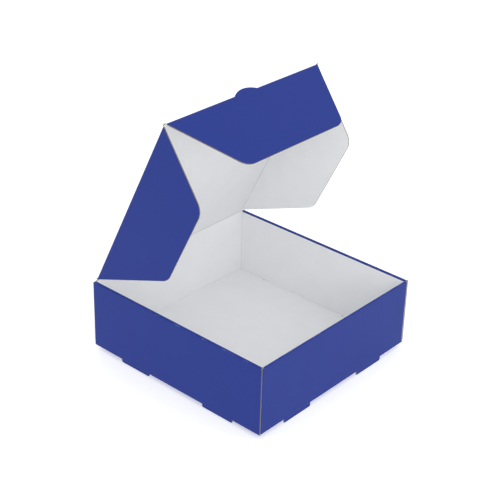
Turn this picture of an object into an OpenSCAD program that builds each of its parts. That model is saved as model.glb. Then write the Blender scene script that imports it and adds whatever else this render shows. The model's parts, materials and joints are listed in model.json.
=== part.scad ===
// Shipping box, folded from one die-cut sheet of thin corrugated board, shown open.
// The side walls and the front wall roll over a narrow rim into a second, inner wall,
// whose lock tabs go down through slots in the floor. The back wall is single and
// carries the lid, with a flap on each side and a tuck flap along the front.
// X runs along the lid's fold, Y to the back and Z up, in millimetres. The origin is
// under the middle of the tray, on the surface that the lock tabs stand on.

/* [Tray] */
// Outside width, along the lid's fold
tray_width = 305; // [200:1:400]
// Outside depth, front to back
tray_depth = 305; // [200:1:400]
// Height from the floor's underside to the rims
tray_height = 101; // [70:0.5:140]
// Length of the corner flaps that the side walls cover
corner_flap_length = 92; // [40:1:95]

/* [Board] */
// Thickness of the corrugated board
board = 1.5; // [1:0.1:3]
// Gap between two layers that lie against each other
layer_gap = 0.2; // [0.1:0.05:0.5]

/* [Lock tabs] */
// Length of a lock tab
tab_length = 53; // [30:1:60]
// How far a lock tab reaches below the floor
tab_drop = 7; // [3:0.5:10]
// Radius of a lock tab's corners
tab_corner = 2; // [0.5:0.5:3]
// Distance of each lock tab from the middle of its wall
tab_offset = 76; // [45:1:90]
// How far a slot is open beside its tab, on the box's inner side
slot_clearance = 2.5; // [0.5:0.1:4]
// How far a slot is open on its other three sides
slot_margin = 0.5; // [0.3:0.1:1]

/* [Lid] */
// Angle of the lid above its closed place
lid_open = 64; // [20:1:110]
// Gap between the closed lid and the rims
lid_seat_gap = 0.4; // [0.3:0.1:1]
// Gap between the folded side flaps and the inner side walls
side_clearance = 0.5; // [0.3:0.1:1.5]
// Gap between the folded tuck flap and the inner front wall
front_clearance = 0.8; // [0.4:0.1:2]
// Gap left round a fold's round edge
fold_gap = 0.2; // [0.15:0.05:0.4]

/* [Side flaps] */
// Gap between the flaps' lower edge and the floor, with the lid closed
flap_floor_gap = 1.2; // [0.5:0.1:20]
// How far the rear end of a side flap slants forwards over its depth
flap_rear_slant = 108; // [60:1:130]
// How far the front end of a side flap slants backwards over its depth
flap_front_slant = 58; // [20:1:80]
// Radius of the side flaps' corners
flap_corner = 22; // [4:1:30]
// Length cut away at both ends of a side flap's fold
flap_relief = 3; // [2:0.5:6]

/* [Tuck flap] */
// Gap that the tuck flap would leave above the floor, if it hung straight down
tuck_floor_gap = 1.2; // [0.5:0.1:20]
// How far each end of the tuck flap slants inwards over its depth
tuck_slant = 51; // [10:1:70]
// Radius of the tuck flap's corners
tuck_corner = 20; // [4:1:30]
// Length cut away at both ends of the tuck flap's fold
tuck_relief = 3; // [2:0.5:6]

/* [Thumb tab] */
// Height of the thumb tab above the tuck flap's fold
thumb_height = 6.5; // [4:0.5:12]
// Radius of the thumb tab's round edge
thumb_radius = 36; // [25:1:60]
// Gap between the thumb tab and its notch in the lid
thumb_gap = 0.3; // [0.2:0.1:1]

/* [Hidden] */

blue = [0.227, 0.278, 0.576];
arc_steps = 8;
$fn = 48;
// A small overlap that lets two solids of one piece join
join = 0.01;

half_width = tray_width / 2;
half_depth = tray_depth / 2;
floor_bottom = tab_drop;
floor_top = floor_bottom + board;
rim_top = floor_bottom + tray_height;

// Side walls, from outside in: outer wall, corner flap, inner wall
side_wall = 3 * board + 2 * layer_gap;
// Front wall, from outside in: outer wall, inner wall
front_wall = 2 * board + layer_gap;
// The front and back walls stand between the outer side walls
cross_half = half_width - board - layer_gap;
// The inner side walls and their rims stand between the front and back walls
side_roll_half = half_depth - board - layer_gap;
// The front wall's rim and inner wall stand between the inner side walls
front_roll_half = half_width - side_wall - layer_gap;

// The lid's fold runs along the middle of the back wall's thickness
fold_radius = board / 2;
hinge_y = half_depth - fold_radius;
hinge_z = rim_top + lid_seat_gap + fold_radius;
// Where a moving panel starts, measured from its fold's axis
fold_start = fold_radius + fold_gap;

// The side flaps' folds and the tuck flap's fold, measured on the closed lid
side_fold_x = half_width - side_wall - side_clearance - fold_radius;
tuck_fold_y = -(half_depth - front_wall - front_clearance - fold_radius);
lid_length = hinge_y - tuck_fold_y;

// The flaps' depths, from their folds' axes
flap_depth = hinge_z - floor_top - flap_floor_gap;
tuck_depth = hinge_z - floor_top - tuck_floor_gap;
thumb_half = sqrt(pow(thumb_radius, 2) - pow(thumb_radius - thumb_height, 2));
// The tab's root is a little wider than its arc, so that the arc doesn't end on its side
thumb_root_half = thumb_half + fold_gap;

// A point a distance d from p on the way to q
function towards(p, q, d) = p + d * (q - p) / norm(q - p);

// The arc that rounds corner p, between its neighbours a and b, with radius r
function corner_arc(a, p, b, r) =
    let (
        u = (a - p) / norm(a - p),
        v = (b - p) / norm(b - p),
        half_angle = acos(u * v) / 2,
        start = towards(p, a, r / tan(half_angle)),
        end = towards(p, b, r / tan(half_angle)),
        centre = p + r / sin(half_angle) * (u + v) / norm(u + v)
    )
    [for (i = [0 : arc_steps])
        let (chord = start + (end - start) * i / arc_steps)
        towards(centre, chord, r)];

// A closed outline whose corners are rounded where the radius isn't zero
function rounded(points, radii) =
    let (n = len(points))
    [for (i = [0 : n - 1])
        for (q = radii[i] == 0
            ? [points[i]]
            : corner_arc(points[(i + n - 1) % n], points[i], points[(i + 1) % n], radii[i]))
        q];

// A quarter disc in the first quadrant
module quarter(r) {
    intersection() {
        circle(r);
        square(r);
    }
}

// A board fold seen from its end: the corner of an L, round on the outside
module fold_corner() {
    translate([board, board]) mirror([1, 0]) mirror([0, 1]) quarter(board);
}

// A wall that rolls over its rim, seen from its end: outside at the left, floor at z = 0
module roll_section(thickness) {
    fold_corner();
    translate([0, board - join]) square([board, tray_height - 2 * board + 2 * join]);
    translate([board, tray_height - board]) mirror([1, 0]) quarter(board);
    translate([board - join, tray_height - board])
        square([thickness - 2 * board + 2 * join, board]);
    translate([thickness - board, tray_height - board]) quarter(board);
    translate([thickness - board, board + layer_gap])
        square([board, tray_height - 2 * board - layer_gap + join]);
}

// The same wall without its roll, up to the height given
module plain_section(height) {
    fold_corner();
    translate([0, board - join]) square([board, height - board + join]);
}

// Lays a section out along Y, centred, outside towards -X
module along_y(length) {
    translate([0, length / 2, floor_bottom]) rotate([90, 0, 0]) linear_extrude(length) children();
}

// Lays a section out along X, centred, outside towards -Y
module along_x(length) {
    translate([-length / 2, 0, floor_bottom])
        rotate([90, 0, 90])
            linear_extrude(length)
                children();
}

// Outline of a lock tab, hanging from z = 0, in the plane of its wall
module tab_outline() {
    half = tab_length / 2;
    reach = board + layer_gap + tab_drop;
    polygon(rounded(
        [[-half, join], [half, join], [half, -reach], [-half, -reach]],
        [0, 0, tab_corner, tab_corner]
    ));
}

// Both lock tabs of a wall: the wall's inner face is at x = 0, its body towards -X
module lock_tabs() {
    for (side = [-1, 1])
        translate([-board, side * tab_offset, floor_top + layer_gap])
            rotate([90, 0, 90])
                linear_extrude(board)
                    tab_outline();
}

// Both slots of a wall, through the floor
module lock_slots() {
    for (side = [-1, 1])
        translate([
            -board - slot_margin,
            side * tab_offset - tab_length / 2 - slot_margin,
            floor_bottom - join
        ])
            cube([
                slot_margin + board + slot_clearance,
                tab_length + 2 * slot_margin,
                board + 2 * join
            ]);
}

// Puts the tabs or slots on the inner faces of both side walls and the front wall
module at_inner_walls() {
    translate([-half_width + side_wall, 0, 0]) children();
    mirror([1, 0, 0]) translate([-half_width + side_wall, 0, 0]) children();
    rotate([0, 0, 90]) translate([-half_depth + front_wall, 0, 0]) children();
}

// One corner flap with the fold that joins it to the front wall
module corner_flap() {
    translate([0, 0, floor_top + layer_gap])
        linear_extrude(tray_height - 2 * board - 2 * layer_gap) {
            translate([-cross_half, -half_depth]) fold_corner();
            translate([-cross_half, -half_depth + board - join])
                square([board, corner_flap_length - board + join]);
        }
}

// The left wall: its outer wall runs the full depth, and its roll fits between the others
module side_wall_left() {
    translate([-half_width, 0, 0]) {
        along_y(tray_depth) plain_section(tray_height - board);
        along_y(2 * side_roll_half) roll_section(side_wall);
    }
}

// The front wall: its roll fits between the side walls' inner walls
module front_wall_rolled() {
    translate([0, -half_depth, 0]) {
        along_x(2 * (cross_half - board + join)) plain_section(tray_height - board);
        along_x(2 * front_roll_half) roll_section(front_wall);
    }
}

// The back wall is higher where the lid's fold crosses it
module back_wall() {
    mirror([0, 1, 0]) translate([0, -half_depth, 0]) {
        along_x(2 * (cross_half - board + join)) plain_section(tray_height - board);
        along_x(2 * side_fold_x) plain_section(hinge_z - floor_bottom);
    }
    translate([-side_fold_x, hinge_y, hinge_z])
        rotate([0, 90, 0])
            cylinder(r = fold_radius, h = 2 * side_fold_x);
}

// The floor, with a slot for each lock tab
module floor_panel() {
    difference() {
        translate([-half_width + board - join, -half_depth + board - join, floor_bottom])
            cube([
                tray_width - 2 * board + 2 * join,
                tray_depth - 2 * board + 2 * join,
                board
            ]);
        at_inner_walls() lock_slots();
    }
}

// All of the sheet that stays still once the box is set up
module tray() {
    color(blue) {
        floor_panel();
        side_wall_left();
        mirror([1, 0, 0]) side_wall_left();
        front_wall_rolled();
        back_wall();
        for (side = [0, 1])
            for (end = [0, 1])
                mirror([side, 0, 0]) mirror([0, end, 0]) corner_flap();
        at_inner_walls() lock_tabs();
    }
}

// Everything on the lid is drawn closed about its fold, then opened
module opened() {
    translate([0, hinge_y, hinge_z]) rotate([-lid_open, 0, 0]) children();
}

// The thumb tab's outline in its own plane, from the tuck flap's edge up to its round top
module thumb_outline(margin) {
    intersection() {
        translate([0, thumb_height - thumb_radius]) circle(thumb_radius + margin);
        translate([-tray_width / 2, 0]) square([tray_width, thumb_height + margin]);
    }
    translate([-thumb_root_half - margin, -fold_start - join])
        square([2 * (thumb_root_half + margin), fold_start + 2 * join]);
}

// The notch that the thumb tab leaves in the lid, with room at its ends for the tab's root
module thumb_notch() {
    thumb_outline(thumb_gap);
    translate([-thumb_root_half - thumb_gap, 0])
        square([2 * (thumb_root_half + thumb_gap), fold_start + thumb_gap]);
}

// Flat lid with round edges on the folds, and the thumb tab's notch at its front
module lid_panel() {
    color(blue) opened() difference() {
        union() {
            translate([-side_fold_x, -lid_length, -fold_radius])
                cube([2 * side_fold_x, lid_length - fold_start, board]);
            for (side = [-1, 1]) {
                translate([side * side_fold_x, -fold_start, 0])
                    rotate([90, 0, 0])
                        cylinder(r = fold_radius, h = lid_length - fold_start);
                translate([side * side_fold_x, -lid_length, 0]) sphere(fold_radius);
            }
            translate([-side_fold_x, -lid_length, 0])
                rotate([0, 90, 0])
                    cylinder(r = fold_radius, h = 2 * side_fold_x);
        }
        translate([0, -lid_length, -board])
            linear_extrude(2 * board)
                thumb_notch();
    }
}

// Cuts the inner edge of a folded panel back, so that it folds past square. The panel
// hangs down from its axis along Y, with its inner face towards +X.
module root_chamfer(length) {
    rotate([90, 0, 0])
        linear_extrude(length)
            polygon([
                [0, -fold_start + join],
                [board, -fold_start + join],
                [board, -fold_start - board],
            ]);
}

// Left flap, folded square to the lid, on its fold's axis
module side_flap() {
    outline = rounded(
        [
            [-flap_relief, -fold_start],
            [-lid_length + flap_relief, -fold_start],
            [-lid_length + flap_front_slant, -flap_depth],
            [-flap_rear_slant, -flap_depth]
        ],
        [0, 0, flap_corner, flap_corner]
    );
    difference() {
        translate([-fold_radius, 0, 0])
            rotate([90, 0, 90])
                linear_extrude(board)
                    polygon(outline);
        root_chamfer(lid_length);
    }
}

module left_lid_flap() {
    color(blue) opened() translate([-side_fold_x, 0, 0]) side_flap();
}

module right_lid_flap() {
    color(blue) opened() mirror([1, 0, 0]) translate([-side_fold_x, 0, 0]) side_flap();
}

// Tuck flap, folded square to the lid, with the thumb tab standing up past the lid
module tuck_flap() {
    root_half = side_fold_x - tuck_relief;
    outline = rounded(
        [
            [-root_half, -fold_start],
            [root_half, -fold_start],
            [root_half - tuck_slant, -tuck_depth],
            [-root_half + tuck_slant, -tuck_depth]
        ],
        [0, 0, tuck_corner, tuck_corner]
    );
    color(blue) opened() translate([0, -lid_length, 0]) {
        difference() {
            translate([0, fold_radius, 0])
                rotate([90, 0, 0])
                    linear_extrude(board)
                        polygon(outline);
            for (start = [-side_fold_x, thumb_half])
                translate([start, 0, 0])
                    rotate([0, 0, 90])
                        root_chamfer(side_fold_x - thumb_half);
        }
        translate([0, fold_radius, 0])
            rotate([90, 0, 0])
                linear_extrude(board)
                    thumb_outline(0);
    }
}

tray();
lid_panel();
left_lid_flap();
right_lid_flap();
tuck_flap();
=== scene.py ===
"""Shipping box folded from one sheet of corrugated board, blue outside and pale grey inside.

Every panel is built as the board it is: two liners with the fluting between them, seen at
the cut edges. Lengths are in metres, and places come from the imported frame.
"""

import json
import math

import bmesh
import bpy
from bpy.props import FloatProperty, FloatVectorProperty, PointerProperty
from bpy.types import Operator, Panel, PropertyGroup
from mathutils import Matrix, Vector
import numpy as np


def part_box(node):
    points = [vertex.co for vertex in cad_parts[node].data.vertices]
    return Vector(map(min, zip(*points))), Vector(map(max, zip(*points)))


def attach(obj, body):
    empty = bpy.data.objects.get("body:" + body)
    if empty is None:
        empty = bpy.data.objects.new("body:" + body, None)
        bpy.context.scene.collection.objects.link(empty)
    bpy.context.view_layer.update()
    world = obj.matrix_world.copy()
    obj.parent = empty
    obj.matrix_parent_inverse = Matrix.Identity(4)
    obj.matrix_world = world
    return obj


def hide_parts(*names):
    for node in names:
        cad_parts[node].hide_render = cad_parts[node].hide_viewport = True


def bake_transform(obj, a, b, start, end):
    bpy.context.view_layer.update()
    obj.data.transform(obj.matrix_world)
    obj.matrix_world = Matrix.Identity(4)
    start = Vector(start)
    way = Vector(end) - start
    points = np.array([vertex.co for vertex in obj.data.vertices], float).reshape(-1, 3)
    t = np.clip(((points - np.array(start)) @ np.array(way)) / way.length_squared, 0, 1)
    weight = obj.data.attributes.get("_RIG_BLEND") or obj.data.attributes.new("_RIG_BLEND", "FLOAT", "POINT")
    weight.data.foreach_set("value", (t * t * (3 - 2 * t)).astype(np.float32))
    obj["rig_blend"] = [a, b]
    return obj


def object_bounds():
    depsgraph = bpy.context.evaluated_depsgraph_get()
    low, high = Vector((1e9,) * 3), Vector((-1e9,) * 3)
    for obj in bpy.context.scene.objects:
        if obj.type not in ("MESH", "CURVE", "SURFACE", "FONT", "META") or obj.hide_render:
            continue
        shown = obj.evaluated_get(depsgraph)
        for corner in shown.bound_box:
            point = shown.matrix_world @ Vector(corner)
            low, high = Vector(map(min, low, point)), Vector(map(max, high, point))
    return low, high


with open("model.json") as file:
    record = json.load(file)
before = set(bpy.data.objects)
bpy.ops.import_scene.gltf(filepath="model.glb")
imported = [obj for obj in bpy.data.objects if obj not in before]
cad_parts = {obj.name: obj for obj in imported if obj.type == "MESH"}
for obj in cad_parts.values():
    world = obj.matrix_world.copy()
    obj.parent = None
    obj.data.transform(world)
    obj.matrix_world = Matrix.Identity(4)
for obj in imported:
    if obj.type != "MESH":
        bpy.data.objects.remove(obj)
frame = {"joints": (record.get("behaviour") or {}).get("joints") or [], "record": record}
CAD_LOW, CAD_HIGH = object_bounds()

bl_info = {
    "name": "Roll-over Shipping Box",
    "version": (1, 0, 0),
    "blender": (4, 5, 0),
    "location": "3D View > Sidebar > Shipping Box",
    "description": "Builds a folded corrugated box with a hinged lid on its packed frame",
    "category": "Add Mesh",
}

SHEET_UV = "sheet"
CREASE_WEAR_AND_SHADE = "wear"
PRINT, LINING, CORE = 0, 1, 2
X, Y, Z = Vector((1, 0, 0)), Vector((0, 1, 0)), Vector((0, 0, 1))
SIDES = (-1, 1)
TOUCH = 1e-6
FLUTE_STEPS = 8
SHARP_ANGLE = math.radians(50)

WHITE = (1, 1, 1, 1)
SENSOR_WIDTH = 36
SKY_STRENGTH = 0.93
FLOOR_COLOUR = (0.86, 0.86, 0.86, 1)
FLOOR_GLOW = 0.37
SCUFFED_INK = (0.36, 0.38, 0.47)
# Name, place, diameter and watts of each soft box
LAMPS = (
    ("key_light", Vector((-2.2, -2.8, 1.9)), 2.4, 36),
    ("fill_light", Vector((2.6, -2.4, 1.4)), 2.2, 6),
    ("top_light", Vector((0.2, -0.8, 3.2)), 2.6, 4),
)

JOINTS = {joint["name"]: joint for joint in frame["joints"]}
TRAY_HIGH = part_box("tray")[1]


def length(name, description, default):
    """A named length in metres for the sidebar."""
    return FloatProperty(
        name=name, description=description, default=default, unit="LENGTH", precision=5
    )


def colour(name, description, default):
    """A named colour for the sidebar."""
    return FloatVectorProperty(
        name=name, description=description, default=default, subtype="COLOR", min=0, max=1
    )


class BoardSettings(PropertyGroup):
    """The corrugated board itself."""

    thickness: length("Board", "Thickness of the board", 0.0015)
    liner: length("Liner", "Thickness of each outer paper", 0.00022)
    medium: length("Medium", "Thickness of the fluted paper", 0.00016)
    pitch: length("Flute pitch", "Distance from one flute to the next", 0.0033)
    fold_inside: length("Fold radius", "Radius inside a fold that stays still", 0.0001)
    fold_reach: length("Crease reach", "How far a moving crease reaches from its axis", 0.0015)
    crush: length("Crease depth", "How far the crease is pressed in", 0.00022)


class PanelSettings(PropertyGroup):
    """The box's panels, tabs and flaps."""

    layer_gap: length("Layer gap", "Gap between two layers that lie together", 0.0002)
    seat_gap: length("Lid gap", "Gap between the closed lid and the rims", 0.0004)
    cut_gap: length("Cut gap", "Gap beside a cut edge that stands next to a rim", 0.0001)
    tab_length: length("Tab length", "Length of a lock tab", 0.053)
    tab_corner: length("Tab corner", "Radius of a lock tab's corners", 0.002)
    tab_offset: length("Tab place", "Lock tab's distance from the wall's middle", 0.076)
    slot_clearance: length("Slot opening", "Open width of a slot beside its tab", 0.0025)
    slot_margin: length("Slot margin", "Open width on a slot's other sides", 0.0005)
    lid_corner: length("Lid corner", "Radius of the lid's own corners", 0.0014)
    corner_flap: length("Corner flap", "Length of a trapped corner flap", 0.092)
    relief: length("Relief", "Length cut away at both ends of a flap's fold", 0.003)
    flap_rear_slant: length("Rear slant", "Slant of a side flap's rear end", 0.108)
    flap_front_slant: length("Front slant", "Slant of a side flap's front end", 0.058)
    flap_corner: length("Flap corner", "Radius of the side flaps' corners", 0.022)
    floor_gap: length("Floor gap", "Gap between a closed flap's end and the floor", 0.0012)
    tuck_slant: length("Tuck slant", "Slant of the tuck flap's ends", 0.051)
    tuck_corner: length("Tuck corner", "Radius of the tuck flap's corners", 0.02)
    thumb_height: length("Thumb tab", "Height of the thumb tab above its fold", 0.0065)
    thumb_radius: length("Thumb radius", "Radius of the thumb tab's edge", 0.036)
    thumb_gap: length("Thumb gap", "Gap round the thumb tab in the lid", 0.0003)


class FinishSettings(PropertyGroup):
    """Colours of the printed face, the lining and the cut edges."""

    print_colour: colour("Print", "Printed outside", (0.0155, 0.036, 0.244))
    lining_colour: colour("Lining", "Plain inside", (0.86, 0.868, 0.882))
    core_colour: colour("Core", "Fluting and cut edges", (0.36, 0.315, 0.255))


class StageSettings(PropertyGroup):
    """Camera, light and floor."""

    azimuth: FloatProperty(name="Azimuth", description="Camera's bearing", default=-48.973)
    elevation: FloatProperty(name="Elevation", description="Camera's height", default=28.755)
    roll: FloatProperty(name="Roll", description="Camera's tilt", default=1.683)
    distance: length("Distance", "Camera's distance", 1.845163)
    aim_right: length("Aim right", "Sideways shift of the camera", 0.000243)
    aim_up: length("Aim up", "Upward shift of the camera", 0.137156)
    lens: FloatProperty(name="Lens", description="Focal length, mm", default=94.422)
    floor_size: length("Floor", "Side of the square floor", 12.0)


def outline_steps(count):
    """Fractions from 0 to 1, both included."""
    return [i / count for i in range(count + 1)]


def rounded(points, radii, steps=8):
    """A closed outline in 2D, with an arc at each corner whose radius isn't zero."""
    outline = []
    count = len(points)
    for i, (point, radius) in enumerate(zip(points, radii)):
        corner = Vector(point)
        if not radius:
            outline.append(corner)
            continue
        before = (Vector(points[i - 1]) - corner).normalized()
        after = (Vector(points[(i + 1) % count]) - corner).normalized()
        half_angle = before.angle(after) / 2
        start = corner + before * radius / math.tan(half_angle)
        end = corner + after * radius / math.tan(half_angle)
        centre = corner + (before + after).normalized() * radius / math.sin(half_angle)
        for share in outline_steps(steps):
            outline.append(centre + (start.lerp(end, share) - centre).normalized() * radius)
    return outline


def rectangle(u_low, v_low, u_high, v_high):
    """Four corners, anticlockwise."""
    return [(u_low, v_low), (u_high, v_low), (u_high, v_high), (u_low, v_high)]


def placed(origin, u_axis, v_axis, w_axis):
    """Matrix that takes a panel's own u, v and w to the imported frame."""
    columns = Matrix((u_axis, v_axis, w_axis)).transposed()
    return Matrix.Translation(origin) @ columns.to_4x4()


def cut(part, point, normal, clear):
    """Cuts a part by an upright plane, and drops what lies beyond it if clear is set."""
    bmesh.ops.bisect_plane(
        part,
        geom=[*part.verts, *part.edges, *part.faces],
        dist=TOUCH / 10,
        plane_co=(*point, 0),
        plane_no=(*normal, 0),
        clear_outer=clear,
    )


def pierce(part, holes):
    """Cuts rectangular holes, each (u_low, v_low, u_high, v_high)."""
    for u_low, v_low, u_high, v_high in holes:
        for u in (u_low, u_high):
            cut(part, (u, 0), (1, 0), clear=False)
        for v in (v_low, v_high):
            cut(part, (0, v), (0, 1), clear=False)
    inside = []
    for face in part.faces:
        u, v, _ = face.calc_center_median()
        if any(a < u < c and b < v < d for a, b, c, d in holes):
            inside.append(face)
    bmesh.ops.delete(part, geom=inside, context="FACES")


class BoardBuilder:
    """Collects one piece of folded board in a bmesh.

    A panel lies in its own u, v plane, with the flutes along v and the printed face
    towards +w. A fold turns about its own v axis.
    """

    def __init__(self):
        self.board = bpy.context.scene.box_board
        self.half = self.board.thickness / 2
        self.bm = bmesh.new()

    def blank(self):
        part = bmesh.new()
        part.loops.layers.uv.new(SHEET_UV)
        part.verts.layers.float.new(CREASE_WEAR_AND_SHADE)
        return part

    def add(self, part, place, sheet_point):
        """Gives a part its place on the flat sheet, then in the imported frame."""
        uv = part.loops.layers.uv[SHEET_UV]
        for face in part.faces:
            for loop in face.loops:
                loop[uv].uv = sheet_point(loop.vert.co)
        bmesh.ops.transform(part, matrix=place, verts=part.verts)
        bmesh.ops.recalc_face_normals(part, faces=part.faces)
        mesh = bpy.data.meshes.new("part")
        part.to_mesh(mesh)
        part.free()
        self.bm.from_mesh(mesh)
        bpy.data.meshes.remove(mesh)

    def plate(self, outline, top, depth, place, sheet_at, holes=()):
        """A flat plate whose upper face is at w = top, printed, lined or bare by its place."""
        part = self.blank()
        part.faces.new([part.verts.new((*point, top)) for point in outline])
        pierce(part, holes)
        grown = bmesh.ops.extrude_face_region(part, geom=part.faces[:])
        lower = [item for item in grown["geom"] if isinstance(item, bmesh.types.BMVert)]
        bmesh.ops.translate(part, vec=(0, 0, -depth), verts=lower)
        for face in part.faces:
            height = face.calc_center_median().z
            face.material_index = CORE
            if height > self.half - TOUCH:
                face.material_index = PRINT
            elif height < TOUCH - self.half:
                face.material_index = LINING
        self.add(part, place, lambda co: (co.x + sheet_at[0], co.y + sheet_at[1]))

    def fluting(self, outline, place, sheet_at, holes=()):
        """The fluted paper inside a convex outline."""
        board = self.board
        part = self.blank()
        us, vs = [p[0] for p in outline], [p[1] for p in outline]
        corners = rectangle(min(us), min(vs), max(us), max(vs))
        face = part.faces.new([part.verts.new((*point, 0)) for point in corners])
        across = [e for e in face.edges if abs(e.verts[0].co.y - e.verts[1].co.y) < TOUCH]
        cuts = round((max(us) - min(us)) / board.pitch * FLUTE_STEPS) - 1
        if cuts > 0:
            bmesh.ops.subdivide_edges(part, edges=across, cuts=cuts, use_grid_fill=True)
        for start, end in zip(outline, [*outline[1:], outline[0]]):
            run = Vector(end) - Vector(start)
            if min(abs(run.x), abs(run.y)) > TOUCH:
                cut(part, start, (run.y, -run.x), clear=True)
        pierce(part, holes)
        swing = self.half - board.liner - board.medium / 2
        for vert in part.verts:
            wave = math.tau * (vert.co.x + sheet_at[0]) / board.pitch
            vert.co.z = swing * math.sin(wave) + board.medium / 2
        bmesh.ops.recalc_face_normals(part, faces=part.faces)
        if sum(face.normal.z for face in part.faces) < 0:
            bmesh.ops.reverse_faces(part, faces=part.faces)
        bmesh.ops.solidify(part, geom=part.faces[:], thickness=board.medium)
        for face in part.faces:
            face.smooth = True
            face.material_index = CORE
        self.add(part, place, lambda co: (co.x + sheet_at[0], co.y + sheet_at[1]))

    def panel(self, outline, place, sheet_at, fluting=None, holes=()):
        """Two liners with the fluting between them, in convex parts if the outline isn't."""
        liner = self.board.liner
        self.plate(outline, self.half, liner, place, sheet_at, holes)
        self.plate(outline, liner - self.half, liner, place, sheet_at, holes)
        for part in [outline] if fluting is None else fluting:
            self.fluting(part, place, sheet_at, holes)

    def fold(self, span, place, sheet_at, along, angle=math.pi / 2, radius=None, crush=0):
        """A fold about its own v axis, over span, from the panel that comes in along +u.

        The printed face is the outer one. along says that the fold runs along the flutes.
        """
        inner = self.board.fold_inside if radius is None else radius
        outer = inner + 2 * self.half
        low, high = span
        part = self.blank()
        wear = part.verts.layers.float[CREASE_WEAR_AND_SHADE]
        section = [(0, low, inner), (0, high, inner), (0, high, outer), (0, low, outer)]
        start = part.faces.new([part.verts.new(point) for point in section])
        bmesh.ops.spin(
            part,
            geom=[start, *start.edges, *start.verts],
            cent=(0, 0, 0),
            axis=(0, 1, 0),
            angle=angle,
            steps=max(4, round(math.degrees(angle) / 9)),
        )
        outside = set()
        for vert in part.verts:
            spoke = Vector((vert.co.x, 0, vert.co.z))
            turn = math.atan2(vert.co.x, vert.co.z)
            middle = math.sin(math.pi * min(1, max(0, turn / angle)))
            # Crease weight, highest in the middle of the fold: it wears the print there and paints shade
            # into the lining.
            vert[wear] = middle
            if spoke.length > inner + TOUCH:
                outside.add(vert)
                vert.co -= spoke.normalized() * crush * middle
        for face in part.faces:
            face.smooth = True
            on_outside = {vert in outside for vert in face.verts}
            face.material_index = CORE
            if on_outside == {True}:
                face.material_index = PRINT
            elif on_outside == {False}:
                face.material_index = LINING

        def sheet_point(co):
            arc = math.atan2(co.x, co.z) * (inner + self.half)
            u, v = (arc, co.y) if along else (co.y, arc)
            return (u + sheet_at[0], v + sheet_at[1])

        self.add(part, place, sheet_point)

    def finish(self, name, bodies, replaces=None, blend=None):
        """Makes the object, and tells the frame what it rides on."""
        for edge in self.bm.edges:
            if len(edge.link_faces) == 2:
                edge.smooth = edge.calc_face_angle() < SHARP_ANGLE
        mesh = bpy.data.meshes.new(name)
        self.bm.to_mesh(mesh)
        self.bm.free()
        piece = bpy.data.objects.new(name, mesh)
        bpy.context.scene.collection.objects.link(piece)
        for make in (print_finish, lining_finish, core_finish):
            mesh.materials.append(make())
        if blend:
            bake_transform(piece, *bodies, start=blend[0], end=blend[1])
        else:
            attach(piece, bodies[0])
        if replaces:
            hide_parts(replaces)
        return piece


class Layout:
    """Places that several pieces share, worked out from the frame."""

    def __init__(self):
        board = bpy.context.scene.box_board
        sizes = bpy.context.scene.box_panels
        self.half = board.thickness / 2
        self.turn = board.fold_inside + board.thickness
        self.reach = board.fold_reach
        self.width = TRAY_HIGH.x
        self.depth = TRAY_HIGH.y
        self.base = frame["record"]["mounts"][0]["pos_m"][2]
        self.hinge = Vector(JOINTS["lid_fold"]["pos_m"])
        self.rim = self.hinge.z - self.half - sizes.seat_gap
        self.inner_x = self.width - 3 * board.thickness - 2 * sizes.layer_gap
        self.inner_y = self.depth - 2 * board.thickness - sizes.layer_gap
        self.cross_x = self.width - board.thickness - sizes.layer_gap
        self.roll_y = self.depth - board.thickness - sizes.layer_gap
        self.roll_x = self.inner_x - sizes.layer_gap
        self.wall_low = self.base + self.turn
        self.wall_high = self.rim - self.turn
        self.inner_low = self.base + board.thickness + sizes.layer_gap
        self.cut_top = self.rim - sizes.cut_gap

        self.along = Vector(JOINTS["left_flap_fold"]["axis"]).normalized()
        self.out = self.along.cross(X)
        self.fold_x = JOINTS["right_flap_fold"]["pos_m"][0]
        self.tuck = Vector(JOINTS["tuck_fold"]["pos_m"])
        self.lid_length = (self.tuck - self.hinge).length
        self.tuck_root = self.fold_x - sizes.relief
        radius, height = sizes.thumb_radius, sizes.thumb_height
        self.thumb_half = math.sqrt(radius**2 - (radius - height) ** 2)
        self.flap_depth = self.hinge.z - self.base - board.thickness - sizes.floor_gap


def tab_outline(low, high, half_run):
    """Inner wall, u up from the tabs' tips and v along the wall, with its lock tabs."""
    sizes = bpy.context.scene.box_panels
    points, radii = [(high, -half_run), (high, half_run), (low, half_run)], [0, 0, 0]
    for side in (1, -1):
        near = side * sizes.tab_offset + sizes.tab_length / 2
        far = side * sizes.tab_offset - sizes.tab_length / 2
        points += [(low, near), (0, near), (0, far), (low, far)]
        radii += [0, sizes.tab_corner, sizes.tab_corner, 0]
    points.append((low, -half_run))
    radii.append(0)
    return rounded(points, radii, steps=4)


def tab_parts(low, high, half_run):
    """Convex parts of the same wall, for its fluting."""
    sizes = bpy.context.scene.box_panels
    parts = [rectangle(low, -half_run, high, half_run)]
    for side in SIDES:
        near = side * sizes.tab_offset - sizes.tab_length / 2
        far = side * sizes.tab_offset + sizes.tab_length / 2
        corner = sizes.tab_corner
        parts.append(
            rounded(rectangle(0, near, low, far), [corner, 0, 0, corner], steps=4)
        )
    return parts


def swapped(outline):
    """The same outline with u and v changed over."""
    return [(point[1], point[0]) for point in reversed(outline)]


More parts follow.
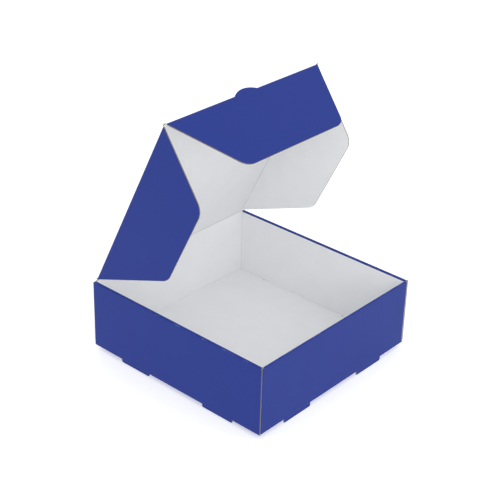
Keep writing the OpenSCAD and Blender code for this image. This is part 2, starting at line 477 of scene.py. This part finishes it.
class BOX_OT_tray(Operator):
    """Floor, walls, rims, inner walls, corner flaps and lock tabs, in one piece"""

    bl_idname = "shipping_box.tray"
    bl_label = "Fold the Tray"

    def execute(self, context):
        at = Layout()
        build = BoardBuilder()
        self.floor(build, at)
        for side in SIDES:
            self.side_wall(build, at, side)
        self.front_wall(build, at)
        self.back_wall(build, at)
        for side in SIDES:
            for end in SIDES:
                self.corner_flap(build, at, side, end)
        build.finish("tray_board", ["tray"], replaces="tray")
        return {"FINISHED"}

    def floor(self, build, at):
        sizes = bpy.context.scene.box_panels
        half_u, half_v = at.width - at.turn, at.depth - at.turn
        reach = sizes.tab_length / 2 + sizes.slot_margin
        holes = []
        for middle in (-sizes.tab_offset, sizes.tab_offset):
            back_of_slot = at.inner_x + 2 * at.half + sizes.slot_margin
            front_of_slot = at.inner_x - sizes.slot_clearance
            holes.append((front_of_slot, middle - reach, back_of_slot, middle + reach))
            holes.append((-back_of_slot, middle - reach, -front_of_slot, middle + reach))
            edge = at.inner_y - sizes.slot_clearance
            holes.append((middle - reach, -half_v - TOUCH, middle + reach, -edge))
        place = placed(Vector((0, 0, at.base + at.half)), X, Y, -Z)
        build.panel(rectangle(-half_u, -half_v, half_u, half_v), place, (0, 0), holes=holes)

    def side_wall(self, build, at, side):
        """A side wall with its rim and inner wall; side is -1 on the left."""
        out = side * X
        fold_x = side * (at.width - at.turn)
        sheet_u = at.width + at.turn
        build.fold(
            (-at.depth, at.depth),
            placed(Vector((fold_x, 0, at.base + at.turn)), out, Y, -Z),
            (sheet_u, 0),
            along=True,
        )
        ends = [
            rectangle(at.wall_high, v_low, at.cut_top, v_low + at.depth - at.roll_y)
            for v_low in (-at.depth, at.roll_y)
        ]
        wall = [
            (at.wall_low, -at.depth),
            (at.cut_top, -at.depth),
            (at.cut_top, -at.roll_y),
            (at.wall_high, -at.roll_y),
            (at.wall_high, at.roll_y),
            (at.cut_top, at.roll_y),
            (at.cut_top, at.depth),
            (at.wall_low, at.depth),
        ]
        build.panel(
            wall,
            placed(Vector((side * (at.width - at.half), 0, 0)), Z, Y, out),
            (sheet_u, 0),
            fluting=[rectangle(at.wall_low, -at.depth, at.wall_high, at.depth), *ends],
        )
        span = (-at.roll_y, at.roll_y)
        sheet_u += at.rim
        build.fold(
            span, placed(Vector((fold_x, 0, at.wall_high)), Z, Y, out), (sheet_u, 0), along=True
        )
        inner_fold = at.inner_x + at.turn
        rim_low, rim_high = inner_fold, at.width - at.turn
        build.plate(
            rectangle(rim_low, -at.roll_y, rim_high, at.roll_y),
            at.half,
            2 * at.half,
            placed(Vector((0, 0, at.rim - at.half)), out, Y, Z),
            (sheet_u, 0),
        )
        build.fold(
            span,
            placed(Vector((side * inner_fold, 0, at.wall_high)), -out, Y, Z),
            (sheet_u + at.turn, 0),
            along=True,
        )
        build.panel(
            tab_outline(at.inner_low, at.wall_high, at.roll_y),
            placed(Vector((side * (at.inner_x + at.half), 0, 0)), Z, Y, out),
            (2 * sheet_u, 0),
            fluting=tab_parts(at.inner_low, at.wall_high, at.roll_y),
        )

    def front_wall(self, build, at):
        span_x = at.cross_x - at.turn
        fold_y = -(at.depth - at.turn)
        sheet_v = -at.depth - at.turn
        build.fold(
            (-span_x, span_x),
            placed(Vector((0, fold_y, at.base + at.turn)), -Y, X, -Z),
            (0, sheet_v),
            along=False,
        )
        wall = [
            (-span_x, at.wall_low),
            (span_x, at.wall_low),
            (span_x, at.cut_top),
            (at.roll_x, at.cut_top),
            (at.roll_x, at.wall_high),
            (-at.roll_x, at.wall_high),
            (-at.roll_x, at.cut_top),
            (-span_x, at.cut_top),
        ]
        build.panel(
            wall,
            placed(Vector((0, -(at.depth - at.half), 0)), X, Z, -Y),
            (0, sheet_v),
            fluting=[rectangle(-span_x, at.wall_low, span_x, at.wall_high)],
        )
        build.fold(
            (-at.roll_x, at.roll_x),
            placed(Vector((0, fold_y, at.wall_high)), Z, X, -Y),
            (0, 2 * sheet_v),
            along=False,
            angle=math.pi,
        )
        inner = tab_outline(at.inner_low, at.wall_high, at.roll_x)
        parts = tab_parts(at.inner_low, at.wall_high, at.roll_x)
        build.panel(
            swapped(inner),
            placed(Vector((0, -(at.inner_y + at.half), 0)), X, Z, -Y),
            (0, 3 * sheet_v),
            fluting=[swapped(part) for part in parts],
        )

    def back_wall(self, build, at):
        span_x = at.cross_x - at.turn
        build.fold(
            (-span_x, span_x),
            placed(Vector((0, at.depth - at.turn, at.base + at.turn)), Y, X, -Z),
            (0, at.depth),
            along=False,
        )
        top = at.hinge.z - at.reach
        wall = [
            (-span_x, at.wall_low),
            (span_x, at.wall_low),
            (span_x, at.cut_top),
            (at.fold_x, at.cut_top),
            (at.fold_x, top),
            (-at.fold_x, top),
            (-at.fold_x, at.cut_top),
            (-span_x, at.cut_top),
        ]
        build.panel(
            wall,
            placed(Vector((0, at.hinge.y, 0)), X, Z, Y),
            (0, at.depth),
            fluting=[rectangle(-span_x, at.wall_low, span_x, top)],
        )

    def corner_flap(self, build, at, side, end):
        """One corner flap; end is -1 at the front wall and 1 at the back wall."""
        sizes = bpy.context.scene.box_panels
        out, outward = side * X, end * Y
        fold_at = Vector((side * (at.cross_x - at.turn), end * (at.depth - at.turn), 0))
        build.fold(
            (at.inner_low, at.cut_top),
            placed(fold_at, out, Z, outward),
            (at.width, end * at.depth),
            along=True,
        )
        low, high = at.depth - sizes.corner_flap, at.depth - at.turn
        build.panel(
            rectangle(low, at.inner_low, high, at.rim - 2 * at.half - sizes.layer_gap),
            placed(Vector((side * (at.cross_x - at.half), 0, 0)), outward, Z, out),
            (at.width, end * at.depth),
        )


def thumb_arc(gap, edge, steps=16):
    """The thumb tab's round edge in (x, v), v down from the fold, cut off at v = edge."""
    sizes = bpy.context.scene.box_panels
    radius = sizes.thumb_radius + gap
    middle = sizes.thumb_radius - sizes.thumb_height
    limit = math.acos((middle - edge) / radius)
    return [
        (radius * math.sin(turn), middle - radius * math.cos(turn))
        for turn in [limit * (1 - 2 * share) for share in outline_steps(steps)]
    ]


class BOX_OT_lid(Operator):
    """Lid panel, with the thumb tab's notch at its front"""

    bl_idname = "shipping_box.lid"
    bl_label = "Cut the Lid"

    def execute(self, context):
        sizes = context.scene.box_panels
        at = Layout()
        build = BoardBuilder()
        edge_x, crease_x = at.fold_x + at.half, at.fold_x - at.reach
        edge_v, crease_v = at.lid_length + at.half, at.lid_length - at.reach
        relief_v = at.lid_length - sizes.relief
        notch = [
            (x, at.lid_length + v) for x, v in thumb_arc(sizes.thumb_gap, -at.reach)
        ]
        corners = {
            (at.fold_x, at.reach): 0,
            (edge_x, at.reach): 0,
            (edge_x, sizes.relief): 0,
            (crease_x, sizes.relief): 0,
            (crease_x, relief_v): 0,
            (edge_x, relief_v): 0,
            (edge_x, edge_v): sizes.lid_corner,
            (at.tuck_root, edge_v): 0,
            (at.tuck_root, crease_v): 0,
            (0, at.reach): 0,
        }
        right = rounded(list(corners), list(corners.values()), steps=5)[:-1]
        left = [(-point[0], point[1]) for point in reversed(right)]
        parts = []
        notch_x = notch[0][0]
        for low, high in ((-crease_x, -notch_x), (notch_x, crease_x)):
            parts.append(rectangle(low, at.reach, high, crease_v))
        for (x_high, v_high), (x_low, v_low) in zip(notch, notch[1:]):
            parts.append(
                [(x_low, at.reach), (x_high, at.reach), (x_high, v_high), (x_low, v_low)]
            )
        build.panel(
            right + notch + left,
            placed(at.hinge, X, at.along, at.out),
            (0, 2 * at.depth),
            fluting=parts,
        )
        build.finish("lid_board", ["lid"], replaces="lid_panel")
        return {"FINISHED"}


class BOX_OT_side_flaps(Operator):
    """Left and right flaps of the lid"""

    bl_idname = "shipping_box.side_flaps"
    bl_label = "Cut the Side Flaps"

    def execute(self, context):
        sizes = context.scene.box_panels
        at = Layout()
        outline = rounded(
            [
                (at.reach, sizes.relief),
                (at.flap_depth, sizes.flap_rear_slant),
                (at.flap_depth, at.lid_length - sizes.flap_front_slant),
                (at.reach, at.lid_length - sizes.relief),
            ],
            [0, sizes.flap_corner, sizes.flap_corner, 0],
        )
        for side, name in zip(SIDES, ("left", "right")):
            build = BoardBuilder()
            origin = at.hinge + side * at.fold_x * X
            build.panel(
                outline,
                placed(origin, -at.out, at.along, side * X),
                (side * at.fold_x, 2 * at.depth),
            )
            build.finish(f"{name}_flap_board", [f"{name}_flap"], replaces=f"{name}_lid_flap")
        return {"FINISHED"}


class BOX_OT_tuck(Operator):
    """Tuck flap along the lid's front, with its thumb tab"""

    bl_idname = "shipping_box.tuck"
    bl_label = "Cut the Tuck Flap"

    def execute(self, context):
        sizes = context.scene.box_panels
        at = Layout()
        root, half = at.tuck_root, at.thumb_half
        tip = root - sizes.tuck_slant
        body = rounded(
            [(-root, at.reach), (root, at.reach), (tip, at.flap_depth), (-tip, at.flap_depth)],
            [0, 0, sizes.tuck_corner, sizes.tuck_corner],
        )
        arc = thumb_arc(0, 0)
        tab = [(half, at.reach), *arc, (-half, at.reach)]
        outline = [body[0], *reversed(tab), *body[1:]]
        build = BoardBuilder()
        build.panel(
            outline,
            placed(at.tuck, X, -at.out, at.along),
            (0, 3 * at.depth),
            fluting=[body, [tab[-1], tab[0], *arc]],
        )
        build.finish("tuck_board", ["tuck"], replaces="tuck_flap")
        return {"FINISHED"}


class BOX_OT_creases(Operator):
    """Pressed creases at the folds that move"""

    bl_idname = "shipping_box.creases"
    bl_label = "Press the Creases"

    def execute(self, context):
        at = Layout()
        self.lid_crease(at)
        for side, name in zip(SIDES, ("left", "right")):
            self.side_crease(at, side, name)
        self.tuck_crease(at)
        return {"FINISHED"}

    def ends(self, at, axis, before, after):
        """Where a crease starts and stops turning, on its middle line."""
        return axis - before * at.half, axis + after * at.half

    def lid_crease(self, at):
        board = bpy.context.scene.box_board
        build = BoardBuilder()
        angle = Z.angle(at.along)
        radius = at.reach / math.tan(angle / 2)
        centre = at.hinge - at.reach * Z - radius * Y
        build.fold(
            (-at.fold_x, at.fold_x),
            placed(centre, Z, X, Y),
            (0, 2 * at.depth),
            along=False,
            angle=angle,
            radius=radius - at.half,
            crush=board.crush,
        )
        span = self.ends(at, at.hinge, Z, at.along)
        build.finish("lid_crease", ["tray", "lid"], blend=span)

    def side_crease(self, at, side, name):
        sizes, board = bpy.context.scene.box_panels, bpy.context.scene.box_board
        build = BoardBuilder()
        axis = at.hinge + side * at.fold_x * X
        build.fold(
            (sizes.relief, at.lid_length - sizes.relief),
            placed(axis - at.reach * (side * X + at.out), side * X, at.along, at.out),
            (side * at.fold_x, 2 * at.depth),
            along=True,
            radius=at.reach - at.half,
            crush=board.crush,
        )
        span = self.ends(at, axis, side * X, -at.out)
        build.finish(f"{name}_flap_crease", ["lid", f"{name}_flap"], blend=span)

    def tuck_crease(self, at):
        sizes, board = bpy.context.scene.box_panels, bpy.context.scene.box_board
        build = BoardBuilder()
        start = at.thumb_half + sizes.thumb_gap
        for low, high in ((-at.tuck_root, -start), (start, at.tuck_root)):
            build.fold(
                (low, high),
                placed(at.tuck - at.reach * (at.along + at.out), at.along, X, at.out),
                (0, 3 * at.depth),
                along=False,
                radius=at.reach - at.half,
                crush=board.crush,
            )
        span = self.ends(at, at.tuck, at.along, -at.out)
        build.finish("tuck_crease", ["lid", "tuck"], blend=span)


class Wire:
    """A shader socket that adds a Math node when it is used in an expression."""

    def __init__(self, finish, socket):
        self.finish = finish
        self.socket = socket

    def math(self, operation, *values):
        node = self.finish.node(
            "ShaderNodeMath", {"operation": operation}, dict(enumerate(values))
        )
        return Wire(self.finish, node.outputs[0])

    def __add__(self, other):
        return self.math("ADD", self, other)

    def __mul__(self, other):
        return self.math("MULTIPLY", self, other)

    __radd__ = __add__
    __rmul__ = __mul__

    def sine(self):
        return self.math("SINE", self)

    def smooth(self, low, high):
        """0 below low, 1 above high, and smooth between them."""
        node = self.finish.node(
            "ShaderNodeMapRange",
            {"interpolation_type": "SMOOTHSTEP"},
            {"Value": self, "From Min": low, "From Max": high},
        )
        return Wire(self.finish, node.outputs[0])


class Finish:
    """One material, built node by node."""

    def __init__(self, name):
        self.material = bpy.data.materials.new(name)
        self.material.use_nodes = True
        self.tree = self.material.node_tree
        self.tree.nodes.clear()

    def node(self, kind, settings=None, inputs=None):
        """A node with its settings made first, then its sockets' values or links."""
        made = self.tree.nodes.new(kind)
        for name, value in (settings or {}).items():
            setattr(made, name, value)
        for name, value in (inputs or {}).items():
            socket = made.inputs[name]
            if isinstance(value, Wire):
                self.tree.links.new(value.socket, socket)
            else:
                socket.default_value = value
        return made

    def wire(self, node, output=0):
        return Wire(self, node.outputs[output])

    def sheet_position(self):
        """Place on the flat sheet, in metres, across and along the flutes."""
        return self.wire(self.node("ShaderNodeUVMap", {"uv_map": SHEET_UV}))

    def across(self):
        split = self.node("ShaderNodeSeparateXYZ", inputs={"Vector": self.sheet_position()})
        return self.wire(split)

    def noise(self, grain, detail=2, stretch=1.0):
        """Noise with grains of about the given size, stretched along the flutes."""
        placed_sheet = self.node(
            "ShaderNodeMapping",
            {"vector_type": "TEXTURE"},
            {"Vector": self.sheet_position(), "Scale": (1, stretch, 1)},
        )
        made = self.node(
            "ShaderNodeTexNoise",
            {"noise_dimensions": "3D"},
            {"Vector": self.wire(placed_sheet), "Scale": 1 / grain, "Detail": detail},
        )
        return self.wire(made)

    # Weight that is highest in the middle of each fold: real wear in the print, painted shade in the lining.
    def crease_wear_and_shade_mask(self):
        return self.wire(self.node("ShaderNodeAttribute", {"attribute_name": CREASE_WEAR_AND_SHADE}), "Fac")

    def mix(self, factor, first, second):
        node = self.node("ShaderNodeMix", {"data_type": "RGBA"}, {0: factor})
        for index, value in ((6, first), (7, second)):
            if isinstance(value, Wire):
                self.tree.links.new(value.socket, node.inputs[index])
            else:
                node.inputs[index].default_value = (*value, 1)
        return self.wire(node, 2)

    def close(self, base, roughness, height, shine):
        """Ends the material in a Principled shader; height is the relief in metres."""
        relief = self.node("ShaderNodeBump", inputs={"Height": height, "Distance": 1.0})
        shader = self.node(
            "ShaderNodeBsdfPrincipled",
            inputs={
                "Base Color": base,
                "Roughness": roughness,
                "Specular IOR Level": shine,
                "Normal": self.wire(relief),
            },
        )
        self.node("ShaderNodeOutputMaterial", inputs={"Surface": self.wire(shader)})
        return self.material


def shade(value, factor):
    """A colour made lighter or darker."""
    return tuple(min(1, channel * factor) for channel in value)


def washboard(finish, depth):
    """The faint ridges that the flutes leave in the liner, in metres."""
    pitch = bpy.context.scene.box_board.pitch
    return (finish.across() * (math.tau / pitch)).sine() * depth


def print_finish():
    """Blue flexo print on a smooth white liner, a little mottled and satin."""
    name = "printed_liner"
    if name in bpy.data.materials:
        return bpy.data.materials[name]
    tint = tuple(bpy.context.scene.box_finish.print_colour)
    finish = Finish(name)
    mottle = finish.noise(0.004, detail=4)
    cloud = finish.noise(0.05, detail=3)
    fibre = finish.noise(0.0006, detail=3, stretch=3)
    cracks = finish.noise(0.0005, detail=4) * 0.5 + finish.noise(0.012, detail=2) * 0.5
    # In the print, the crease weight only makes cracked, worn ink.
    scuff = (finish.crease_wear_and_shade_mask() * 0.5 + cracks).smooth(0.98, 1.14)
    base = finish.mix(mottle.smooth(0.35, 0.75) * 0.5, tint, shade(tint, 1.1))
    base = finish.mix(cloud.smooth(0.3, 0.7) * 0.4, base, shade(tint, 0.93))
    base = finish.mix(fibre.smooth(0.62, 0.8) * 0.16, base, shade(tint, 1.7))
    base = finish.mix(scuff * 0.42, base, SCUFFED_INK)
    roughness = 0.4 + mottle * 0.12 + fibre * 0.06
    height = washboard(finish, 1.4e-5) + fibre * 1.2e-5 + cloud * 1.5e-4
    return finish.close(base, roughness, height, shine=0.16)


def lining_finish():
    """Plain pale grey paper, matt, with fine fibres."""
    name = "grey_liner"
    if name in bpy.data.materials:
        return bpy.data.materials[name]
    tint = tuple(bpy.context.scene.box_finish.lining_colour)
    finish = Finish(name)
    cloud = finish.noise(0.03, detail=4)
    fibre = finish.noise(0.0007, detail=4, stretch=4)
    fleck = finish.noise(0.0016, detail=2, stretch=2)
    base = finish.mix(cloud.smooth(0.3, 0.7) * 0.5, tint, shade(tint, 0.965))
    base = finish.mix(fibre.smooth(0.5, 0.75) * 0.35, base, shade(tint, 1.04))
    base = finish.mix(fleck.smooth(0.68, 0.76) * 0.4, base, shade(tint, 0.75))
    # Painted shade along the inside of every crease, darkest where the fold turns most; part of it stands
    # for the darker pressed fibres of a score line.
    base = finish.mix(finish.crease_wear_and_shade_mask() * 0.5, base, shade(tint, 0.5))
    height = washboard(finish, 1.6e-5) + fibre * 2.2e-5 + cloud * 1.5e-4
    return finish.close(base, 0.82 + fibre * 0.1, height, shine=0.2)


def core_finish():
    """Recycled grey-brown paper of the fluting and of all cut edges."""
    name = "board_core"
    if name in bpy.data.materials:
        return bpy.data.materials[name]
    tint = tuple(bpy.context.scene.box_finish.core_colour)
    finish = Finish(name)
    fibre = finish.noise(0.0004, detail=4)
    base = finish.mix(fibre.smooth(0.3, 0.7), shade(tint, 0.86), shade(tint, 1.12))
    return finish.close(base, 0.92, fibre * 3e-5, shine=0.2)


class BOX_OT_stage(Operator):
    """Camera, soft light and a pale floor"""

    bl_idname = "shipping_box.stage"
    bl_label = "Set the Stage"

    def execute(self, context):
        stage = context.scene.box_stage
        self.camera(context, stage)
        self.floor(context, stage)
        self.world(context)
        self.lamps(context)
        context.scene.view_settings.view_transform = "Standard"
        return {"FINISHED"}

    def camera(self, context, stage):
        bearing, height = math.radians(stage.azimuth), math.radians(stage.elevation)
        back = Vector(
            (
                math.sin(bearing) * math.cos(height),
                -math.cos(bearing) * math.cos(height),
                math.sin(height),
            )
        )
        level = Vector((math.cos(bearing), math.sin(bearing), 0))
        right = Matrix.Rotation(math.radians(stage.roll), 3, back) @ level
        up = back.cross(right)
        data = bpy.data.cameras.new("camera")
        data.lens = stage.lens
        data.sensor_width = SENSOR_WIDTH
        data.clip_end = 50
        camera = bpy.data.objects.new("camera", data)
        place = right * stage.aim_right + up * stage.aim_up + back * stage.distance
        camera.matrix_world = placed(place, right, up, back)
        context.scene.collection.objects.link(camera)
        context.scene.camera = camera

    def floor(self, context, stage):
        """A pale floor that keeps the object's shadow, and is clear from below.

        The world lights the object through it, so that the underside is lit as well.
        """
        bm = bmesh.new()
        bmesh.ops.create_grid(bm, x_segments=1, y_segments=1, size=stage.floor_size / 2)
        mesh = bpy.data.meshes.new("floor")
        bm.to_mesh(mesh)
        bm.free()
        floor = bpy.data.objects.new("floor", mesh)
        context.scene.collection.objects.link(floor)
        paint = Finish("floor_paint")
        path = paint.node("ShaderNodeLightPath")
        seen = paint.wire(path, "Is Camera Ray") + paint.wire(path, "Is Glossy Ray")
        matt = paint.node("ShaderNodeBsdfDiffuse", inputs={"Color": FLOOR_COLOUR})
        glow = paint.node(
            "ShaderNodeEmission",
            inputs={"Strength": seen.math("MINIMUM", seen, 1) * FLOOR_GLOW},
        )
        both = paint.node("ShaderNodeAddShader", inputs={0: paint.wire(matt), 1: paint.wire(glow)})
        clear = paint.node("ShaderNodeBsdfTransparent")
        below = paint.wire(paint.node("ShaderNodeNewGeometry"), "Backfacing")
        mixed = paint.node(
            "ShaderNodeMixShader", inputs={0: below, 1: paint.wire(both), 2: paint.wire(clear)}
        )
        paint.node("ShaderNodeOutputMaterial", inputs={"Surface": paint.wire(mixed)})
        mesh.materials.append(paint.material)
        floor.visible_diffuse = False

    def world(self, context):
        world = bpy.data.worlds.new("studio")
        world.use_nodes = True
        tree = world.node_tree
        tree.nodes.clear()
        path = tree.nodes.new("ShaderNodeLightPath")
        sky = tree.nodes.new("ShaderNodeBackground")
        sky.inputs["Color"].default_value = WHITE
        sky.inputs["Strength"].default_value = SKY_STRENGTH
        plain = tree.nodes.new("ShaderNodeBackground")
        plain.inputs["Color"].default_value = WHITE
        mixed = tree.nodes.new("ShaderNodeMixShader")
        output = tree.nodes.new("ShaderNodeOutputWorld")
        tree.links.new(path.outputs["Is Camera Ray"], mixed.inputs[0])
        tree.links.new(sky.outputs[0], mixed.inputs[1])
        tree.links.new(plain.outputs[0], mixed.inputs[2])
        tree.links.new(mixed.outputs[0], output.inputs["Surface"])
        context.scene.world = world

    def lamps(self, context):
        """Broad soft boxes, a key from the camera's side and a fill from the other."""
        aim = (CAD_LOW + CAD_HIGH) / 2
        for name, place, size, watts in LAMPS:
            data = bpy.data.lights.new(name, "AREA")
            data.shape = "DISK"
            data.size = size
            data.energy = watts
            lamp = bpy.data.objects.new(name, data)
            lamp.location = place
            lamp.rotation_mode = "QUATERNION"
            lamp.rotation_quaternion = (place - aim).to_track_quat("Z", "Y")
            context.scene.collection.objects.link(lamp)


class BOX_PT_panel(Panel):
    """Lists the box's pieces"""

    bl_idname = "BOX_PT_panel"
    bl_label = "Shipping Box"
    bl_space_type = "VIEW_3D"
    bl_region_type = "UI"
    bl_category = "Shipping Box"

    def draw(self, context):
        for operator in OPERATORS:
            self.layout.operator(operator.bl_idname)
        for owner, group in GROUPS.items():
            for name in group.__annotations__:
                self.layout.prop(getattr(context.scene, owner), name)


GROUPS = {
    "box_board": BoardSettings,
    "box_panels": PanelSettings,
    "box_finish": FinishSettings,
    "box_stage": StageSettings,
}
OPERATORS = (
    BOX_OT_tray,
    BOX_OT_lid,
    BOX_OT_side_flaps,
    BOX_OT_tuck,
    BOX_OT_creases,
    BOX_OT_stage,
)


def register():
    for cls in (*GROUPS.values(), *OPERATORS, BOX_PT_panel):
        bpy.utils.register_class(cls)
    for name, group in GROUPS.items():
        setattr(bpy.types.Scene, name, PointerProperty(type=group))


def unregister():
    for name in GROUPS:
        delattr(bpy.types.Scene, name)
    for cls in reversed((*GROUPS.values(), *OPERATORS, BOX_PT_panel)):
        bpy.utils.unregister_class(cls)


def main():
    register()
    bpy.ops.shipping_box.tray()
    bpy.ops.shipping_box.lid()
    bpy.ops.shipping_box.side_flaps()
    bpy.ops.shipping_box.tuck()
    bpy.ops.shipping_box.creases()
    bpy.ops.shipping_box.stage()


if __name__ == "__main__":
    main()
